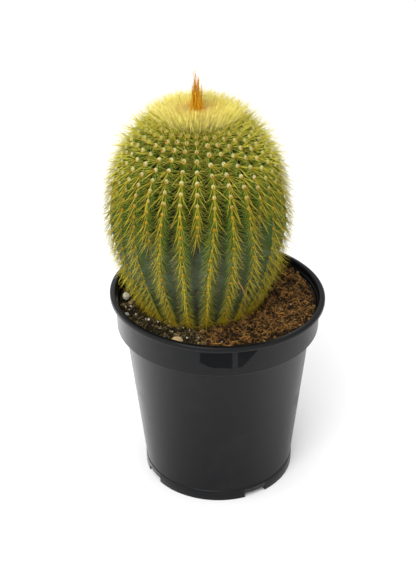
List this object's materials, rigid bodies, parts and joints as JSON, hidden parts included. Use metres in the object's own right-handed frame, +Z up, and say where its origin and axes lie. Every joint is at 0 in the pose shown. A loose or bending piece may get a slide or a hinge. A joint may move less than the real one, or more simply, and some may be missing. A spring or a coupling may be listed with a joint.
{
  "type": "potted round cactus",
  "caption": "Round ribbed golden-spined cactus with a bristly crown and an orange tuft, in a black tapered plastic nursery pot filled with compost.",
  "frame": {"origin": "on the table, under the middle of the object's box; the pot's own axis is about 2 mm to the +X side, because the plant leans over the pot's other side", "axes": "+Z up along the pot and the plant; -Y is the front that the picture shows, +X its right"},
  "size_m": [0.1244, 0.12, 0.2434],
  "materials": {
    "black_plastic": "satin black moulded plastic",
    "compost": "loose fibrous compost",
    "cactus_skin": "waxy green skin",
    "golden_spine": "hard golden spine",
    "orange_bristle": "hard orange-brown bristle",
    "tan_stone": "dull stone",
    "brown_stone": "dull stone",
    "perlite": "crumbly white perlite"
  },
  "bodies": {
    "root": {"pot": "black_plastic", "compost": "compost", "cactus_stem": "cactus_skin", "crown_spines": "golden_spine", "crown_tuft": "orange_bristle", "tan_pebble": "tan_stone", "perlite_lump": "perlite", "buff_chip": "tan_stone", "brown_chip": "brown_stone", "white_chip": "perlite"}
  },
  "joints": []
}
